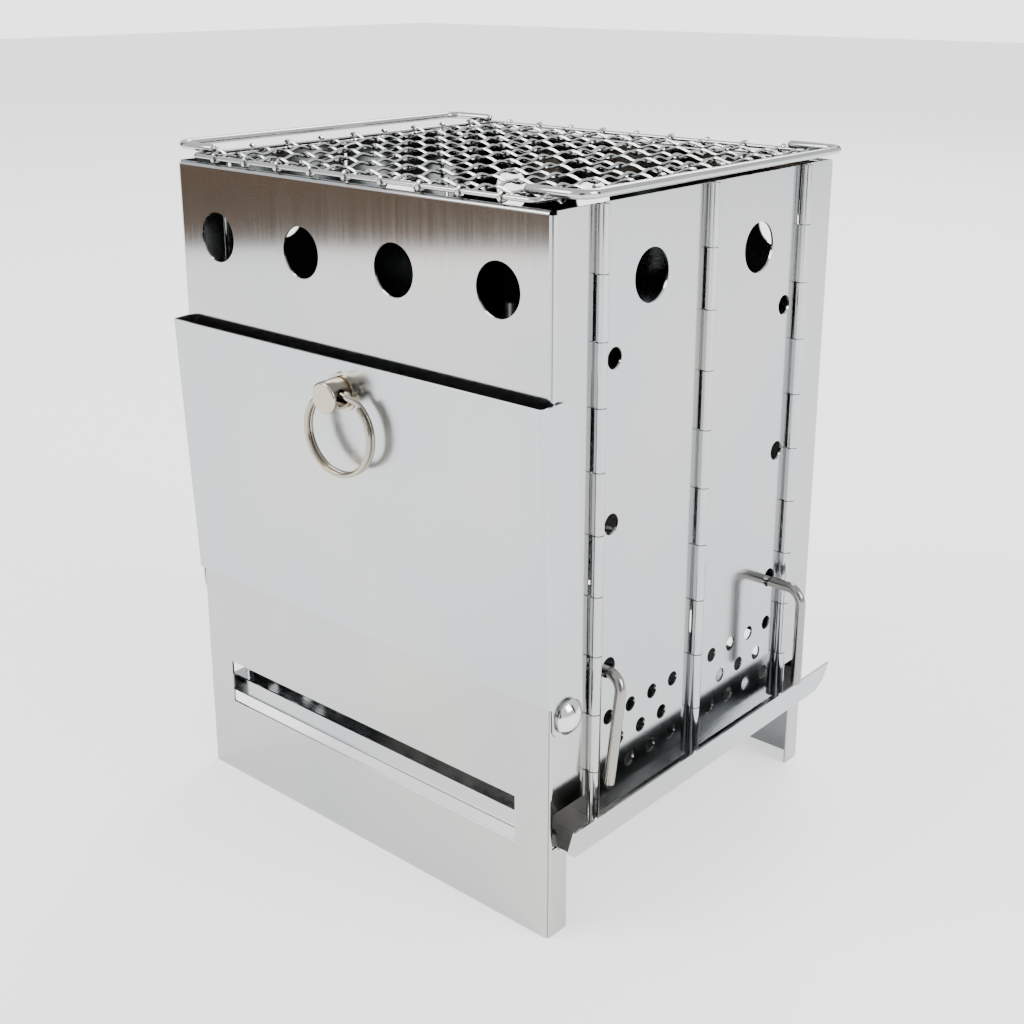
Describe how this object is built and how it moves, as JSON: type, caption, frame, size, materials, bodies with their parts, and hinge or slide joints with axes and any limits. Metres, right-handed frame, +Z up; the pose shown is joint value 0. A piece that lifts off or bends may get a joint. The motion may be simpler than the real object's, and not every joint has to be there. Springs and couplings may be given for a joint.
{
  "type": "folding charcoal starter grill",
  "caption": "Folding rectangular sheet-steel fire box for lighting charcoal, with hinged side leaves, fuel door, ash tray, support rods and lift-off wire net.",
  "frame": {"origin": "on the ground, under the middle of the four-sided body", "axes": "+Z up, +Y to the back, the fuel door faces -Y, the rod handles and the tray lip are at +X"},
  "size_m": [0.2096, 0.1794, 0.2562],
  "materials": {
    "sheet": "semi-mirror rolled stainless sheet with a faint vertical grain",
    "door_sheet": "semi-mirror rolled stainless sheet",
    "tray": "semi-mirror rolled stainless sheet",
    "grate": "satin stainless sheet, slightly heat-tinted",
    "pins": "drawn stainless wire",
    "rods": "drawn stainless wire",
    "screws": "polished stainless",
    "knob": "turned and plated, slightly warm",
    "ring": "polished plated spring steel",
    "net_wire": "bright drawn wire",
    "net_handle": "bright drawn wire"
  },
  "bodies": {
    "front": {"front_panel": "sheet", "pin_front_right": "pins", "pin_front_left": "pins", "pivot_screws": "screws", "pivot_washers": "screws", "pivot_nuts": "screws"},
    "right_front": {"right_front_leaf": "sheet", "pin_middle_right": "pins"},
    "right_rear": {"right_rear_leaf": "sheet", "pin_back_right": "pins"},
    "back": {"back_panel": "sheet"},
    "left_front": {"left_front_leaf": "sheet", "pin_middle_left": "pins"},
    "left_rear": {"left_rear_leaf": "sheet", "pin_back_left": "pins"},
    "door": {"fuel_door": "door_sheet", "door_knob": "knob", "knob_collar": "knob", "knob_screw": "screws"},
    "ring": {"pull_ring": "ring"},
    "rod_front": {"front_rod": "rods"},
    "rod_rear": {"rear_rod": "rods"},
    "grate": {"fire_grate": "grate"},
    "tray": {"ash_tray": "tray"},
    "net": {"net_frame": "net_wire", "net_wires_x": "net_wire", "net_wires_y": "net_wire", "net_handle_left": "net_handle", "net_handle_right": "net_handle"}
  },
  "joints": [
    {"name": "fold", "type": "hinge", "parent": "front", "child": "right_front", "pos_m": [0.0924, -0.06, 0], "axis": [0, 0, 1], "range_deg": [0, 8]},
    {"name": "fold_right_middle", "type": "hinge", "parent": "right_front", "child": "right_rear", "pos_m": [0.0924, 0, 0], "axis": [0, 0, 1], "range_deg": [-16, 0]},
    {"name": "fold_back", "type": "hinge", "parent": "right_rear", "child": "back", "pos_m": [0.0924, 0.06, 0], "axis": [0, 0, 1], "range_deg": [0, 8]},
    {"name": "fold_left_front", "type": "hinge", "parent": "front", "child": "left_front", "pos_m": [-0.0924, -0.06, 0], "axis": [0, 0, 1], "range_deg": [-8, 0]},
    {"name": "fold_left_middle", "type": "hinge", "parent": "left_front", "child": "left_rear", "pos_m": [-0.0924, 0, 0], "axis": [0, 0, 1], "range_deg": [0, 16]},
    {"name": "door_swing", "type": "hinge", "parent": "front", "child": "door", "pos_m": [0, -0.0742, 0.0827], "axis": [1, 0, 0], "range_deg": [-2.6, 62]},
    {"name": "ring_swing", "type": "hinge", "parent": "door", "child": "ring", "pos_m": [0.0026, -0.0926, 0.17924], "axis": [-1, 0, 0], "range_deg": [-4, 165]},
    {"name": "front_rod_pull", "type": "slide", "parent": "front", "child": "rod_front", "axis": [1, 0, 0], "range_m": [0, 0.2]},
    {"name": "rear_rod_pull", "type": "slide", "parent": "back", "child": "rod_rear", "axis": [1, 0, 0], "range_m": [0, 0.19]},
    {"name": "grate_lift", "type": "slide", "parent": "front", "child": "grate", "axis": [0, 0, 1], "range_m": [0, 0.12]},
    {"name": "tray_pull", "type": "slide", "parent": "front", "child": "tray", "axis": [1, 0, 0], "range_m": [0, 0.2]},
    {"name": "net_lift", "type": "slide", "parent": "front", "child": "net", "axis": [0, 0, 1], "range_m": [0, 0.08]}
  ],
  "couplings": [
    {"joint": "fold_right_middle", "follows": "fold", "ratio": -2},
    {"joint": "fold_back", "follows": "fold", "ratio": 1},
    {"joint": "fold_left_front", "follows": "fold", "ratio": -1},
    {"joint": "fold_left_middle", "follows": "fold", "ratio": 2}
  ]
}
